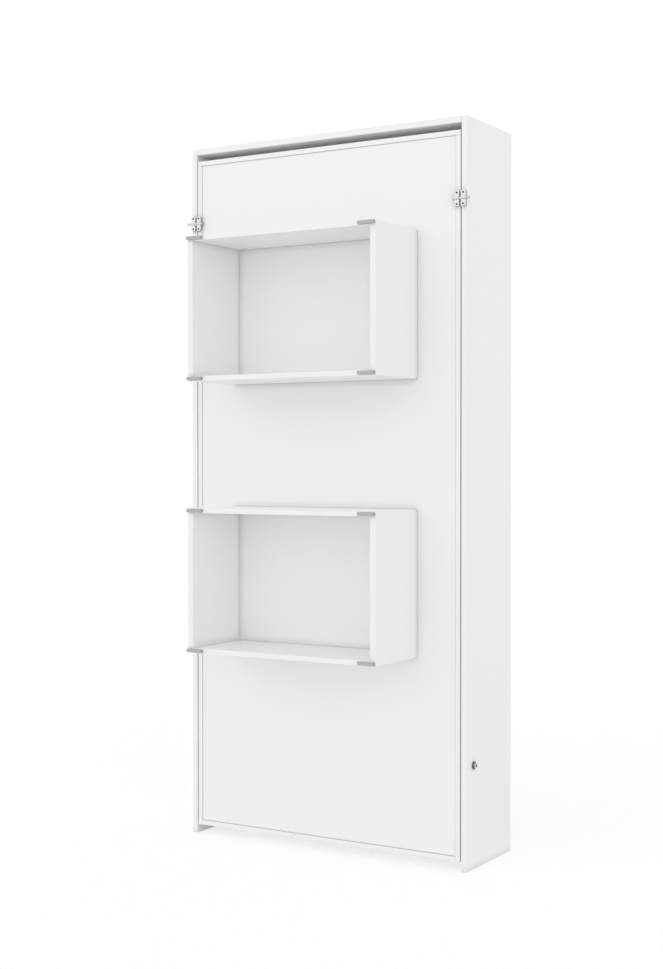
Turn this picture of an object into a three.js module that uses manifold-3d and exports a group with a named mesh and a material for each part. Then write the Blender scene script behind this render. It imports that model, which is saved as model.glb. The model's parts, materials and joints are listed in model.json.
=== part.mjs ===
// A tall wall bed, shown folded up inside its cabinet. Two shelf boxes on the front of the bed
// turn into its legs when it is pulled down. Millimetres, X to the right, Y to the back, Z up.

import * as THREE from "three";
import { ConvexGeometry } from "three/addons/geometries/ConvexGeometry.js";
import { mergeVertices } from "three/addons/utils/BufferGeometryUtils.js";
import Module from "manifold-3d";

// Cabinet
const cabinetBoard = 18;
const cabinetDepth = 306;
const wallClearance = 2;
const railHeight = 100;
const lowerRailLift = 20;
const stopBattenThickness = 18;
const stopBattenOverlap = 10;

// Bed frame
const sideGap = 3.5;
const topGap = 21;
const floorGap = 28;
const bedBoard = 15;
const sideBoardDepth = 150;
const footBoardDepth = 60;
const panelRecess = 2;
const panelGroove = 0.8;

// Shelf boxes that become the legs
const shelfSideInset = 126.5;
const shelfHeight = 437;
const shelfDepth = 248;
const shelfSideBoard = 18;
const shelfBoard = 15;
const shelfHousing = 2.4;
const shelfHousingGap = 0.5;
const lowerShelfReach = 528.5;
const upperShelfBelowHead = 264;
const footLength = 55;
const footHeight = 10;
const footThickness = 10;
const footCorner = 3.6;

// Bed pivot
const pivotSetback = 47;
const pivotBoltRadius = 6;
const pivotWasherRadius = 12;
const pivotWasherThickness = 3;
const pivotHeadRadius = 7;
const pivotHeadLength = 6;
const pivotSocketRadius = 3.6;
const pivotSocketDepth = 4.5;
const bushRadius = 9;
const bushFlangeRadius = 17;
const runningGap = 0.06;

// Slats and mattress
const mattressWidth = 897;
const mattressLength = 2000;
const mattressThickness = 150;
const mattressCrown = 12;
const mattressCorner = 55;
const mattressDrawIn = 6;
const tuftDepth = 9;
const tuftSpread = 55;
const tuftRows = 7;
const tuftColumns = 3;
const mattressSideRoom = 3;
const mattressStopHeight = 128;
const headClearance = 8;
const stopBoardDepth = 197;
const slatCount = 9;
const slatWidth = 160;
const slatThickness = 12;
const slatPlane = 84;
const slatRail = 22;
const strapWidth = 40;
const strapThickness = 1.6;
const strapSpacing = 850;
const strapAnchor = 40;

// Gas struts
const strutLugReach = 32;
const strutFootBelowPivot = 68;
const strutHeadAbovePivot = 582;
const strutLean = 25;
const strutRadius = 7.2;
const strutWall = 1.2;
const strutRodRadius = 4;
const strutEyeRadius = 8;
const strutEyeWidth = 8;
const strutPinRadius = 3;
const strutHeadRadius = 6;
const strutStudRadius = 4;
const strutTail = 26;
const strutGlandGap = 30;
const strutPistonCover = 35;
const lugThickness = 3;
const lugBaseThickness = 2.5;
const lugBaseHeight = 56;
const studPlateThickness = 1.8;
const studPlateWidth = 30;
const studPlateHeight = 44;

// Latches
const latchBelowTop = 238;
const latchPlateHeight = 46;
const latchPlateThickness = 8;
const latchPlateWidth = 16;
const latchBarrelRadius = 5;
const latchBoltRadius = 3;
const latchReach = 6;
const latchKnobRadius = 4;
const latchKnobLength = 2.5;
const latchTravel = 9;
const latchTipStandOut = 12;
const latchScrewRadius = 2;
const latchScrewSpacing = 33;
const latchBoltGap = 0.15;

// Seats and edges
const fitGap = 0.3;
const edgeChamfer = 0.8;
const metalChamfer = 0.5;
const roundSteps = 12;
const cornerSteps = 2;
const arcSteps = 5;

// Places worked out from the sizes above
const bedInsideHalf = mattressWidth / 2 + mattressSideRoom;
const bedHalf = bedInsideHalf + bedBoard;
const insideHalf = bedHalf + sideGap;
const cabinetOuter = insideHalf + cabinetBoard;
const headUnderside = mattressStopHeight + mattressLength + headClearance;
const bedTop = headUnderside + bedBoard;
const cabinetHeight = bedTop + topGap + cabinetBoard;
const pivotHeight = pivotSetback + shelfDepth + footThickness;
const swingRadius = pivotHeight - floorGap;
const swingReach = pivotSetback + swingRadius + wallClearance;
const wallReach = Math.max(swingReach, cabinetDepth);
const shelfHalf = bedInsideHalf - shelfSideInset;
const lowerShelfMiddle = pivotHeight + lowerShelfReach;
const upperShelfMiddle = headUnderside - upperShelfBelowHead - shelfHeight / 2;
const latchHeight = cabinetHeight - latchBelowTop;
const mattressFront = slatPlane + fitGap;
const mattressMiddle = mattressStopHeight + fitGap + mattressLength / 2;
const strutPlane = bedHalf - bedBoard / 2;
const strutFoot = new THREE.Vector2(sideBoardDepth + strutLugReach, pivotHeight - strutFootBelowPivot);
const strutHead = new THREE.Vector2(strutFoot.x + strutLean, pivotHeight + strutHeadAbovePivot);
const pivot = new THREE.Vector2(pivotSetback, pivotHeight);
const strutFootOpen = strutFoot.clone().rotateAround(pivot, Math.PI / 2);
const strutClosed = strutFoot.distanceTo(strutHead);
const strutOpen = strutFootOpen.distanceTo(strutHead);

const whiteBoard = new THREE.MeshStandardMaterial({ color: 0xeeeeec, roughness: 0.5, metalness: 0 });
const satinMetal = new THREE.MeshStandardMaterial({ color: 0xb8b8b6, roughness: 0.35, metalness: 1 });
const footGrey = new THREE.MeshStandardMaterial({ color: 0xaeaeac, roughness: 0.5, metalness: 0.3 });
const blackPaint = new THREE.MeshStandardMaterial({ color: 0x1c1c1e, roughness: 0.45, metalness: 0.2 });
const birch = new THREE.MeshStandardMaterial({ color: 0xd9bd8c, roughness: 0.6, metalness: 0 });
const ticking = new THREE.MeshStandardMaterial({ color: 0xf1efe9, roughness: 0.9, metalness: 0 });
const webbing = new THREE.MeshStandardMaterial({ color: 0x4a4a4c, roughness: 0.9, metalness: 0 });
const nylon = new THREE.MeshStandardMaterial({ color: 0xe4e2da, roughness: 0.5, metalness: 0 });

const wasm = await Module();
wasm.setup();

const model = new THREE.Group();

function add(name, geometry, material) {
  const mesh = new THREE.Mesh(geometry, material);
  mesh.name = name;
  model.add(mesh);
}

// Both sides of the bed get the same piece. It is drawn for the right-hand side.
function addPair(name, geometry, material) {
  add(name + "_right", geometry, material);
  add(name + "_left", mirrored(geometry), material);
}

function mirrored(geometry) {
  const copy = mergeVertices(bare(geometry), 1e-4);
  copy.scale(-1, 1, 1);
  const corners = copy.index.array;
  for (let i = 0; i < corners.length; i += 3) {
    [corners[i], corners[i + 1]] = [corners[i + 1], corners[i]];
  }
  copy.computeVertexNormals();
  return copy;
}

function bare(geometry) {
  const copy = geometry.clone();
  copy.deleteAttribute("normal");
  copy.deleteAttribute("uv");
  return copy;
}

function solid(geometry) {
  const merged = mergeVertices(bare(geometry), 1e-4);
  return new wasm.Manifold(
    new wasm.Mesh({
      numProp: 3,
      vertProperties: new Float32Array(merged.attributes.position.array),
      triVerts: new Uint32Array(merged.index.array),
    }),
  );
}

function fromSolid(body) {
  const mesh = body.getMesh();
  const geometry = new THREE.BufferGeometry();
  geometry.setAttribute("position", new THREE.Float32BufferAttribute(mesh.vertProperties, 3));
  geometry.setIndex(new THREE.BufferAttribute(mesh.triVerts, 1));
  geometry.computeVertexNormals();
  return geometry;
}

// A straight board given by its limits, with every edge broken by a small chamfer.
function board([x0, x1], [y0, y1], [z0, z1], chamfer = edgeChamfer) {
  const middle = new THREE.Vector3(x0 + x1, y0 + y1, z0 + z1).multiplyScalar(0.5);
  const half = new THREE.Vector3(x1 - x0, y1 - y0, z1 - z0).multiplyScalar(0.5);
  const points = [];
  for (const flat of ["x", "y", "z"]) {
    for (let corner = 0; corner < 8; corner += 1) {
      const signs = new THREE.Vector3(corner & 1 ? 1 : -1, corner & 2 ? 1 : -1, corner & 4 ? 1 : -1);
      const reach = half.clone().subScalar(chamfer);
      reach[flat] = half[flat];
      points.push(signs.multiply(reach).add(middle));
    }
  }
  return new ConvexGeometry(points);
}

// An outline drawn in Y and Z, given a thickness along X with chamfered faces.
function plateAcross(shape, x0, thickness, chamfer = edgeChamfer, steps = roundSteps) {
  const plate = new THREE.ExtrudeGeometry(shape, {
    depth: thickness - 2 * chamfer,
    bevelEnabled: true,
    bevelThickness: chamfer,
    bevelSize: chamfer,
    bevelOffset: -chamfer,
    bevelSegments: 1,
    curveSegments: steps,
  });
  plate.translate(0, 0, x0 + chamfer);
  const toSide = new THREE.Matrix4().makeBasis(
    new THREE.Vector3(0, 1, 0),
    new THREE.Vector3(0, 0, 1),
    new THREE.Vector3(1, 0, 0),
  );
  return plate.applyMatrix4(toSide);
}

// An outline drawn in X and Z, facing the front, given a thickness towards the back.
function plateFacing(shape, y0, thickness, chamfer = metalChamfer, steps = cornerSteps) {
  const plate = new THREE.ExtrudeGeometry(shape, {
    depth: thickness - 2 * chamfer,
    bevelEnabled: true,
    bevelThickness: chamfer,
    bevelSize: chamfer,
    bevelOffset: -chamfer,
    bevelSegments: 1,
    curveSegments: steps,
  });
  plate.rotateX(Math.PI / 2);
  plate.translate(0, y0 + thickness - chamfer, 0);
  return plate;
}

function roundedRectangle(width, height, radius) {
  const shape = new THREE.Shape();
  const right = width / 2 - radius;
  const top = height / 2 - radius;
  shape.absarc(right, top, radius, 0, Math.PI / 2, false);
  shape.absarc(-right, top, radius, Math.PI / 2, Math.PI, false);
  shape.absarc(-right, -top, radius, Math.PI, 1.5 * Math.PI, false);
  shape.absarc(right, -top, radius, 1.5 * Math.PI, 2 * Math.PI, false);
  shape.closePath();
  return shape;
}

function roundHole(x, y, radius) {
  const hole = new THREE.Path();
  hole.absarc(x, y, radius, 0, 2 * Math.PI, true);
  return hole;
}

// A turned piece along X. Each profile point is [distance along X, radius].
function turned(profile, steps = 2 * roundSteps) {
  const points = profile.map(([along, radius]) => new THREE.Vector2(radius, along));
  const lathe = new THREE.LatheGeometry(points, steps);
  lathe.rotateZ(-Math.PI / 2);
  return lathe;
}

function makeCabinet() {
  const side = new THREE.Shape();
  side.moveTo(0, 0);
  side.lineTo(cabinetDepth, 0);
  side.lineTo(cabinetDepth, cabinetHeight);
  side.lineTo(0, cabinetHeight);
  side.closePath();
  side.holes.push(roundHole(pivotSetback, pivotHeight, pivotBoltRadius + fitGap));
  addPair("side_panel", plateAcross(side, insideHalf, cabinetBoard), whiteBoard);

  const between = [-insideHalf + fitGap, insideHalf - fitGap];
  const underTop = cabinetHeight - cabinetBoard;
  add("top_panel", board(between, [0, cabinetDepth], [underTop, cabinetHeight]), whiteBoard);

  // The rails reach to the wall and keep the cabinet as far off it as the swing of the bed needs.
  const back = [cabinetDepth - cabinetBoard, wallReach];
  const upperRail = [underTop - fitGap - railHeight, underTop - fitGap];
  const lowerRail = [lowerRailLift, lowerRailLift + railHeight];
  add("upper_wall_rail", board(between, back, upperRail), whiteBoard);
  add("lower_wall_rail", board(between, back, lowerRail), whiteBoard);

  const battenFront = sideBoardDepth + fitGap;
  const battenDepth = [battenFront, battenFront + stopBattenThickness];
  const battenRise = [bedTop - stopBattenOverlap, underTop - fitGap];
  add("closing_stop_batten", board(between, battenDepth, battenRise), whiteBoard);
}

// The shallow groove in the front panel that takes the back edge of a shelf board.
function housing(across, rise) {
  const wide = across[1] - across[0] + 2 * shelfHousingGap;
  const tall = rise[1] - rise[0] + 2 * shelfHousingGap;
  const cutter = new THREE.BoxGeometry(wide, 2 * shelfHousing, tall);
  cutter.translate((across[0] + across[1]) / 2, panelRecess, (rise[0] + rise[1]) / 2);
  return solid(cutter);
}

function makeBedFrame() {
  const side = new THREE.Shape();
  side.moveTo(0, floorGap);
  side.lineTo(pivotSetback, floorGap);
  const cornerEnd = -Math.acos((sideBoardDepth - pivotSetback) / swingRadius);
  side.absarc(pivotSetback, pivotHeight, swingRadius, -Math.PI / 2, cornerEnd, false);
  side.lineTo(sideBoardDepth, headUnderside - fitGap);
  side.lineTo(0, headUnderside - fitGap);
  side.closePath();
  side.holes.push(roundHole(pivotSetback, pivotHeight, bushRadius + fitGap));
  addPair("bed_side_board", plateAcross(side, bedInsideHalf, bedBoard), whiteBoard);

  const between = [-bedInsideHalf + fitGap, bedInsideHalf - fitGap];
  const footRise = [floorGap, floorGap + bedBoard];
  add("head_board", board([-bedHalf, bedHalf], [0, sideBoardDepth], [headUnderside, bedTop]), whiteBoard);
  add("foot_board", board(between, [0, footBoardDepth], footRise), whiteBoard);

  const panelHalf = bedInsideHalf - panelGroove;
  const panelRise = [floorGap + bedBoard + panelGroove, headUnderside - panelGroove];
  const panelBack = panelRecess + bedBoard;
  let panel = solid(board([-panelHalf, panelHalf], [panelRecess, panelBack], panelRise));
  for (const middle of [upperShelfMiddle, lowerShelfMiddle]) {
    for (const [across, rise] of Object.values(shelfBoards(middle))) {
      panel = panel.subtract(housing(across, rise));
    }
  }
  add("front_panel", fromSolid(panel), whiteBoard);

  const stopDepth = [panelBack + fitGap, panelBack + fitGap + stopBoardDepth];
  const stopRise = [mattressStopHeight - bedBoard, mattressStopHeight];
  add("mattress_stop_board", board(between, stopDepth, stopRise), whiteBoard);
}

// The boards of a shelf box, each as its limits across and its limits in height.
function shelfBoards(middle) {
  const low = middle - shelfHeight / 2;
  const high = middle + shelfHeight / 2;
  const inner = shelfHalf - shelfSideBoard;
  const between = [-inner + fitGap, inner - fitGap];
  return {
    top: [between, [high - shelfBoard, high]],
    bottom: [between, [low, low + shelfBoard]],
    left: [[-shelfHalf, -inner], [low, high]],
    right: [[inner, shelfHalf], [low, high]],
  };
}

function makeShelfBox(name, middle) {
  const depth = [-shelfDepth, panelRecess + shelfHousing - fitGap];
  const boards = shelfBoards(middle);
  for (const [place, [across, rise]] of Object.entries(boards)) {
    add(name + "_shelf_" + place, board(across, depth, rise), whiteBoard);
  }

  const pad = plateFacing(
    roundedRectangle(footLength, footHeight, footCorner),
    -shelfDepth - footThickness,
    footThickness - fitGap,
    2 * metalChamfer,
  );
  const footX = shelfHalf - footLength / 2;
  for (const level of ["top", "bottom"]) {
    const rise = boards[level][1];
    const z = (rise[0] + rise[1]) / 2;
    add(name + "_foot_" + level + "_left", pad.clone().translate(-footX, 0, z), footGrey);
    add(name + "_foot_" + level + "_right", pad.clone().translate(footX, 0, z), footGrey);
  }
}

function makePivots() {
  const shankStart = bedInsideHalf + metalChamfer;
  const washerStart = cabinetOuter + fitGap;
  const headStart = washerStart + pivotWasherThickness;
  const headEnd = headStart + pivotHeadLength;
  const bolt = turned([
    [shankStart, 0],
    [shankStart, pivotBoltRadius - metalChamfer],
    [shankStart + metalChamfer, pivotBoltRadius],
    [washerStart, pivotBoltRadius],
    [washerStart, pivotWasherRadius],
    [headStart - metalChamfer, pivotWasherRadius],
    [headStart, pivotWasherRadius - metalChamfer],
    [headStart, pivotHeadRadius],
    [headEnd - metalChamfer, pivotHeadRadius],
    [headEnd, pivotHeadRadius - metalChamfer],
    [headEnd, 0],
  ], 3 * roundSteps);
  const socket = new THREE.CylinderGeometry(pivotSocketRadius, pivotSocketRadius, 2 * pivotSocketDepth, 6);
  socket.rotateZ(Math.PI / 2);
  socket.translate(headEnd, 0, 0);
  const withSocket = fromSolid(solid(bolt).subtract(solid(socket)));
  addPair("pivot_bolt", withSocket.translate(0, pivotSetback, pivotHeight), satinMetal);

  const bore = pivotBoltRadius + runningGap;
  const flangeStart = bedHalf + fitGap;
  const flangeEnd = insideHalf - fitGap;
  const bush = turned([
    [bedInsideHalf + fitGap, bore],
    [bedInsideHalf + fitGap, bushRadius],
    [flangeStart, bushRadius],
    [flangeStart, bushFlangeRadius],
    [flangeEnd, bushFlangeRadius],
    [flangeEnd, bore],
    [bedInsideHalf + fitGap, bore],
  ], 3 * roundSteps);
  addPair("pivot_bush", bush.translate(0, pivotSetback, pivotHeight), nylon);
}

function makeSlats() {
  const outer = bedInsideHalf - fitGap;
  const low = mattressStopHeight + fitGap;
  const high = headUnderside - fitGap;
  const railBack = slatPlane - slatThickness - fitGap;
  const rail = board([outer - slatRail, outer], [railBack - slatRail, railBack], [low, high]);
  addPair("slat_rail", rail, birch);

  const first = low + slatWidth / 2 + fitGap;
  const last = high - slatWidth / 2 - fitGap;
  for (let i = 0; i < slatCount; i += 1) {
    const middle = first + (i * (last - first)) / (slatCount - 1);
    const rise = [middle - slatWidth / 2, middle + slatWidth / 2];
    const slat = board([-outer, outer], [slatPlane - slatThickness, slatPlane], rise, 2 * edgeChamfer);
    add("bed_slat_" + (i + 1), slat, birch);
  }
}

// Height of the sleeping surface over its seam, at a share of the half width and half length.
function crownAt(acrossShare, alongShare) {
  return mattressCrown * (1 - acrossShare ** 2) * (1 - alongShare ** 4);
}

// The buttoned hollows lie in even rows, drawn in from the ends and the sides.
function tuftAt(x, z) {
  let hollow = 0;
  for (let row = 0; row < tuftRows; row += 1) {
    for (let column = 0; column < tuftColumns; column += 1) {
      const tuftX = ((column + 0.5) / tuftColumns - 0.5) * mattressWidth;
      const tuftZ = ((row + 0.5) / tuftRows - 0.5) * mattressLength;
      const away = ((x - tuftX) ** 2 + (z - tuftZ) ** 2) / tuftSpread ** 2;
      hollow += tuftDepth * Math.exp(-away);
    }
  }
  return hollow;
}

function makeMattress() {
  const across = 4 * tuftColumns;
  const along = 4 * tuftRows;
  const block = new THREE.BoxGeometry(mattressWidth, mattressThickness, mattressLength, across, 4, along);
  const seamHeight = mattressThickness / 2 - mattressCrown;
  const place = block.attributes.position;
  const point = new THREE.Vector3();
  for (let i = 0; i < place.count; i += 1) {
    point.fromBufferAttribute(place, i);
    const { x, z } = point;
    const level = point.y / (mattressThickness / 2);
    const acrossShare = (2 * x) / mattressWidth;
    const alongShare = (2 * z) / mattressLength;
    point.y = level * seamHeight;
    if (level > 0.99) point.y += crownAt(acrossShare, alongShare) - tuftAt(x, z) * edgeFade(x, z);
    if (level < -0.99) point.y += edgeFade(x, z) * (tuftAt(x, z) / 2) - mattressCrown * edgeFade(x, z);
    roundCorner(point, x, z);
    const drawn = mattressDrawIn * (1 - level ** 2);
    if (Math.abs(acrossShare) > 0.99) point.x -= Math.sign(x) * drawn;
    if (Math.abs(alongShare) > 0.99) point.z -= Math.sign(z) * drawn;
    place.setXYZ(i, point.x, point.y, point.z);
  }
  const cushion = mergeVertices(bare(block), 1e-3);
  cushion.computeVertexNormals();
  cushion.translate(0, mattressFront + mattressThickness / 2, mattressMiddle);
  add("mattress", cushion, ticking);
}

// One away from the rim of the mattress, falling to nothing at its seam.
function edgeFade(x, z) {
  const rim = Math.min(mattressWidth / 2 - Math.abs(x), mattressLength / 2 - Math.abs(z));
  return Math.min(1, rim / mattressCorner);
}

// Takes the square corner of the plan to a quarter circle.
function roundCorner(point, x, z) {
  const pastX = Math.abs(x) - (mattressWidth / 2 - mattressCorner);
  const pastZ = Math.abs(z) - (mattressLength / 2 - mattressCorner);
  if (pastX <= 0 || pastZ <= 0) return;
  const inward = Math.max(pastX, pastZ) / Math.hypot(pastX, pastZ);
  point.x = Math.sign(x) * (mattressWidth / 2 - mattressCorner + pastX * inward);
  point.z = Math.sign(z) * (mattressLength / 2 - mattressCorner + pastZ * inward);
}

// An elastic strap comes up from one side board, runs over the mattress and down to the other.
function makeStrap(name, z) {
  const half = bedInsideHalf - fitGap - strapThickness;
  const seam = mattressFront + mattressThickness - mattressCrown + 2 * fitGap;
  const alongShare = (2 * (z - mattressMiddle)) / mattressLength;
  const line = [new THREE.Vector2(-half, sideBoardDepth - strapAnchor)];
  for (let i = 0; i <= 2 * roundSteps; i += 1) {
    const share = -1 + i / roundSteps;
    line.push(new THREE.Vector2(share * half, seam + crownAt(share, alongShare)));
  }
  line.push(new THREE.Vector2(half, sideBoardDepth - strapAnchor));
  const outer = line.map((at, i) => {
    const end = i === 0 || i === line.length - 1 || i === 1 || i === line.length - 2;
    const lift = i === 0 || i === line.length - 1 ? 0 : strapThickness;
    return new THREE.Vector2(at.x + (end ? Math.sign(at.x) * strapThickness : 0), at.y + lift);
  });
  const shape = new THREE.Shape([...line, ...outer.reverse()]);
  const strap = new THREE.ExtrudeGeometry(shape, { depth: strapWidth, bevelEnabled: false });
  strap.translate(0, 0, z - strapWidth / 2);
  add(name, strap, webbing);
}

// The strut leans a little back from upright. Its pieces are drawn along Z and then turned.
function leanStrut(geometry) {
  const along = strutHead.clone().sub(strutFoot).normalize();
  geometry.rotateX(-Math.atan2(along.x, along.y));
  return geometry.translate(strutPlane, strutFoot.x, strutFoot.y);
}

function turnedUpright(profile) {
  return turned(profile).rotateY(-Math.PI / 2);
}

function makeStruts() {
  const rodEnd = strutClosed - strutOpen + strutGlandGap + strutPistonCover;
  const pistonLength = 12;
  const bore = strutRadius - strutWall;
  const pistonRadius = bore - fitGap;
  const rod = turnedUpright([
    [strutPinRadius + 2 * metalChamfer, 0],
    [strutPinRadius + 2 * metalChamfer, strutRodRadius],
    [rodEnd - pistonLength, strutRodRadius],
    [rodEnd - pistonLength, pistonRadius],
    [rodEnd, pistonRadius],
    [rodEnd, 0],
  ]);
  const eye = turned([
    [-strutEyeWidth / 2, 0],
    [-strutEyeWidth / 2, strutEyeRadius - metalChamfer],
    [-strutEyeWidth / 2 + metalChamfer, strutEyeRadius],
    [strutEyeWidth / 2 - metalChamfer, strutEyeRadius],
    [strutEyeWidth / 2, strutEyeRadius - metalChamfer],
    [strutEyeWidth / 2, 0],
  ]);
  const pinHole = turned([
    [-strutEyeWidth, 0],
    [-strutEyeWidth, strutPinRadius + 2 * runningGap],
    [strutEyeWidth, strutPinRadius + 2 * runningGap],
    [strutEyeWidth, 0],
  ]);
  const eyedRod = fromSolid(solid(rod).add(solid(eye)).subtract(solid(pinHole)));
  addPair("strut_rod", leanStrut(eyedRod), satinMetal);

  const gland = strutClosed - strutOpen + strutGlandGap;
  const capStart = strutClosed - strutTail;
  const glandLength = 10;
  const glandBore = strutRodRadius + fitGap;
  const tube = turnedUpright([
    [gland, glandBore],
    [gland, strutRadius - 2 * metalChamfer],
    [gland + 2 * metalChamfer, strutRadius],
    [capStart - 2 * metalChamfer, strutRadius],
    [capStart, strutRadius - 2 * metalChamfer],
    [capStart, strutStudRadius],
    [strutClosed, strutStudRadius],
    [strutClosed, 0],
    [capStart - glandLength, 0],
    [capStart - glandLength, bore],
    [gland + glandLength, bore],
    [gland + glandLength, glandBore],
    [gland, glandBore],
  ]);
  const ballCup = new THREE.SphereGeometry(strutHeadRadius, roundSteps, roundSteps / 2);
  ballCup.translate(0, 0, strutClosed);
  const studEnd = insideHalf - fitGap - studPlateThickness - fitGap - strutPlane;
  const stud = turned([
    [0, 0],
    [0, strutStudRadius],
    [studEnd, strutStudRadius],
    [studEnd, 0],
  ]);
  stud.translate(0, 0, strutClosed);
  const cylinder = fromSolid(solid(tube).add(solid(ballCup)).add(solid(stud)));
  addPair("strut_cylinder", leanStrut(cylinder), blackPaint);
}

function makeStrutBrackets() {
  const plate = roundedRectangle(studPlateWidth, studPlateHeight, studPlateWidth / 4);
  const screwRow = studPlateHeight / 2 - studPlateWidth / 4;
  plate.holes.push(roundHole(0, screwRow, latchScrewRadius));
  plate.holes.push(roundHole(0, -screwRow, latchScrewRadius));
  const plateStart = insideHalf - fitGap - studPlateThickness;
  const studPlate = plateAcross(plate, plateStart, studPlateThickness, metalChamfer, arcSteps);
  addPair("strut_stud_plate", studPlate.translate(0, strutHead.x, strutHead.y), satinMetal);

  const baseFront = sideBoardDepth + fitGap;
  const baseBack = baseFront + lugBaseThickness;
  const lug = new THREE.Shape();
  const lowest = strutFoot.y - lugBaseHeight / 2;
  const highest = strutFoot.y + lugBaseHeight / 2;
  lug.moveTo(baseFront, lowest);
  lug.lineTo(baseBack, lowest);
  lug.absarc(strutFoot.x, strutFoot.y, strutEyeRadius, -Math.PI / 3, Math.PI / 3, false);
  lug.lineTo(baseBack, highest);
  lug.lineTo(baseFront, highest);
  lug.closePath();
  const lugStart = bedHalf - fitGap - lugThickness;
  const lugPlate = plateAcross(lug, lugStart, lugThickness, metalChamfer, arcSteps);
  const base = board(
    [bedInsideHalf + fitGap, bedHalf - fitGap],
    [baseFront, baseBack],
    [lowest, highest],
    metalChamfer,
  );
  const eyeInner = strutPlane - strutEyeWidth / 2 - fitGap;
  const pinHead = 2;
  const pin = turned([
    [eyeInner - pinHead, 0],
    [eyeInner - pinHead, strutPinRadius + 2],
    [eyeInner, strutPinRadius + 2],
    [eyeInner, strutPinRadius],
    [lugStart + lugThickness / 2, strutPinRadius],
    [lugStart + lugThickness / 2, 0],
  ]);
  pin.translate(0, strutFoot.x, strutFoot.y);
  const bracket = fromSolid(solid(lugPlate).add(solid(base)).add(solid(pin)));
  addPair("strut_bracket", bracket, satinMetal);
}

// A screwed plate with a round barrel across its middle, from x0 to x1, and a bore for the bolt.
function latchHalf(plateX, barrelX, boreRadius, boreX) {
  const plateMiddle = (plateX[0] + plateX[1]) / 2;
  const outline = roundedRectangle(plateX[1] - plateX[0], latchPlateHeight, 3);
  const plate = plateFacing(outline, -fitGap - latchPlateThickness, latchPlateThickness);
  plate.translate(plateMiddle, 0, 0);

  const saddle = new THREE.Shape();
  saddle.moveTo(-fitGap, -latchBarrelRadius);
  saddle.lineTo(-latchReach, -latchBarrelRadius);
  saddle.absarc(-latchReach, 0, latchBarrelRadius, -Math.PI / 2, Math.PI / 2, true);
  saddle.lineTo(-fitGap, latchBarrelRadius);
  saddle.closePath();
  const barrel = plateAcross(saddle, barrelX[0], barrelX[1] - barrelX[0], metalChamfer, arcSteps);

  const bore = turned([
    [boreX[0], 0],
    [boreX[0], boreRadius],
    [boreX[1], boreRadius],
    [boreX[1], 0],
  ]);
  bore.translate(0, -latchReach, 0);
  let half = solid(plate).add(solid(barrel)).subtract(solid(bore));
  for (const z of [-latchScrewSpacing / 2, latchScrewSpacing / 2]) {
    const hole = new THREE.CylinderGeometry(latchScrewRadius, latchScrewRadius, 20, roundSteps);
    hole.translate(plateMiddle, 0, z);
    half = half.subtract(solid(hole));
  }
  return fromSolid(half).translate(0, 0, latchHeight);
}

function makeLatches() {
  const guidePlate = [cabinetOuter - latchPlateWidth - 1, cabinetOuter - 1];
  const barrelStart = bedHalf + fitGap;
  const guideBarrel = [barrelStart, cabinetOuter - fitGap];
  const guideBore = [barrelStart - 1, cabinetOuter + 1];
  const boltHole = latchBoltRadius + latchBoltGap;
  addPair("latch_guide", latchHalf(guidePlate, guideBarrel, boltHole, guideBore), satinMetal);

  const keeperEnd = bedHalf - fitGap;
  const keeperPlate = [keeperEnd - latchPlateWidth, keeperEnd];
  const keeperBarrel = [keeperPlate[0] - latchBarrelRadius, keeperEnd];
  const keeperBore = [keeperEnd - latchTravel - fitGap, keeperEnd + 1];
  const keeperHole = boltHole + fitGap;
  addPair("latch_keeper", latchHalf(keeperPlate, keeperBarrel, keeperHole, keeperBore), satinMetal);

  const tip = barrelStart + fitGap;
  const knobEnd = cabinetOuter + latchTipStandOut;
  const knobStart = knobEnd - latchKnobLength;
  const bolt = turned([
    [tip, 0],
    [tip, latchBoltRadius - metalChamfer],
    [tip + metalChamfer, latchBoltRadius],
    [knobStart - metalChamfer, latchBoltRadius],
    [knobStart, latchKnobRadius],
    [knobEnd - metalChamfer, latchKnobRadius],
    [knobEnd, latchKnobRadius - metalChamfer],
    [knobEnd, 0],
  ]);
  addPair("latch_bolt", bolt.translate(0, -latchReach, latchHeight), satinMetal);
}

makeCabinet();
makeBedFrame();
makeShelfBox("upper", upperShelfMiddle);
makeShelfBox("lower", lowerShelfMiddle);
makePivots();
makeSlats();
makeMattress();
makeStrap("upper_mattress_strap", mattressMiddle + strapSpacing / 2);
makeStrap("lower_mattress_strap", mattressMiddle - strapSpacing / 2);
makeStruts();
makeStrutBrackets();
makeLatches();

// The part's origin is the middle of its footprint on the floor, feet of the shelves included.
model.position.y = (shelfDepth + footThickness - wallReach) / 2;

export default model;
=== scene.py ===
# A wall bed folded up in its cabinet, dressed for a studio picture.
# Metres, X to the right, Y towards the wall, Z up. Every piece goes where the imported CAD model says.

import json
import math

import bmesh
import bpy
from mathutils import Matrix, Vector
from mathutils.bvhtree import BVHTree


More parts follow.
